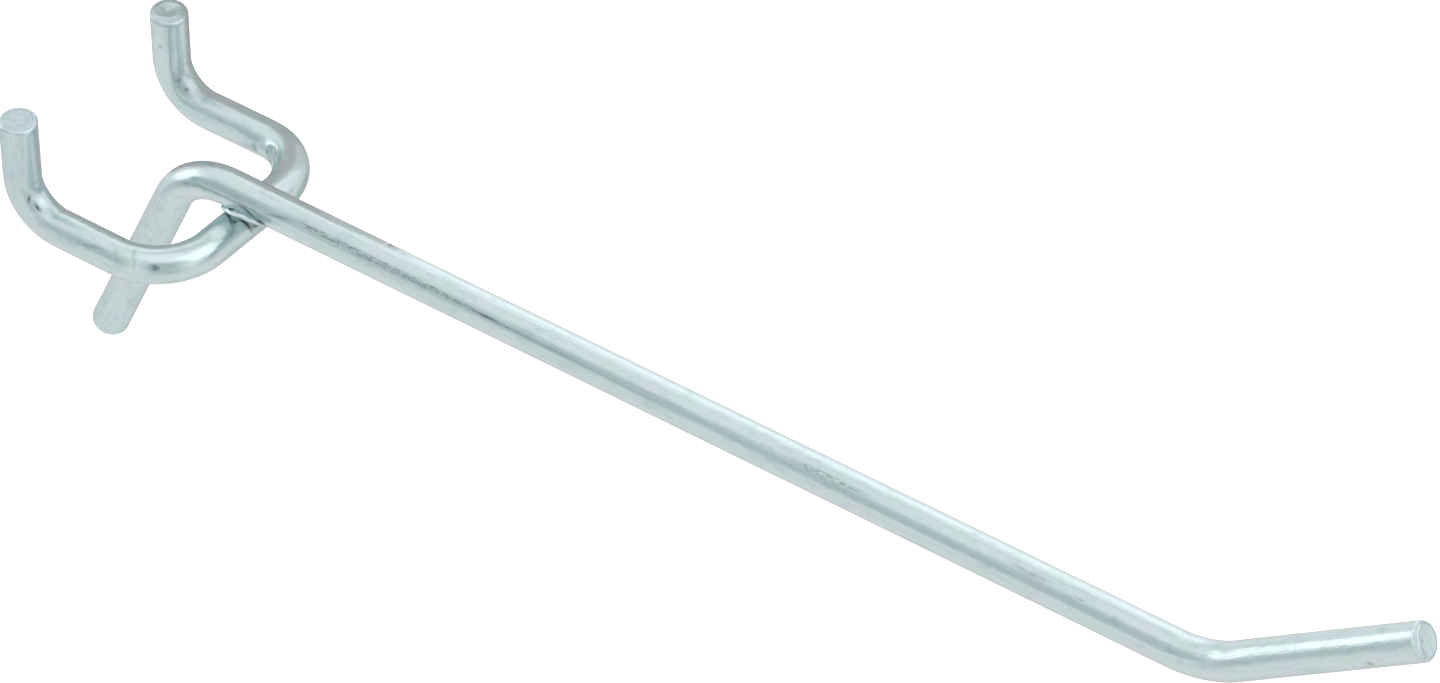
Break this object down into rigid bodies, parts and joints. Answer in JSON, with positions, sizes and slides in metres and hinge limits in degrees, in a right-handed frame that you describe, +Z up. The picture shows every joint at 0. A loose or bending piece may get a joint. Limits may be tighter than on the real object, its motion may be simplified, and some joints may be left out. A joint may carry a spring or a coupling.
{
  "type": "pegboard hook",
  "caption": "Double-prong pegboard hook of zinc-plated wire: a long straight arm with a raised tip, cross-welded to a U-shaped peg wire.",
  "frame": {"origin": "midway between the two pegs, where their axes pass the front face of the board", "axes": "-Y runs out along the arm towards the user, +Y goes into the board along both pegs, +Z points up along the prongs, and +X runs along the crossbar"},
  "size_m": [0.0296, 0.176, 0.0481],
  "materials": {
    "zinc_plated_steel": "bright zinc plate over drawn steel wire"
  },
  "bodies": {
    "root": {"peg_wire": "zinc_plated_steel", "arm_wire": "zinc_plated_steel"}
  },
  "joints": []
}
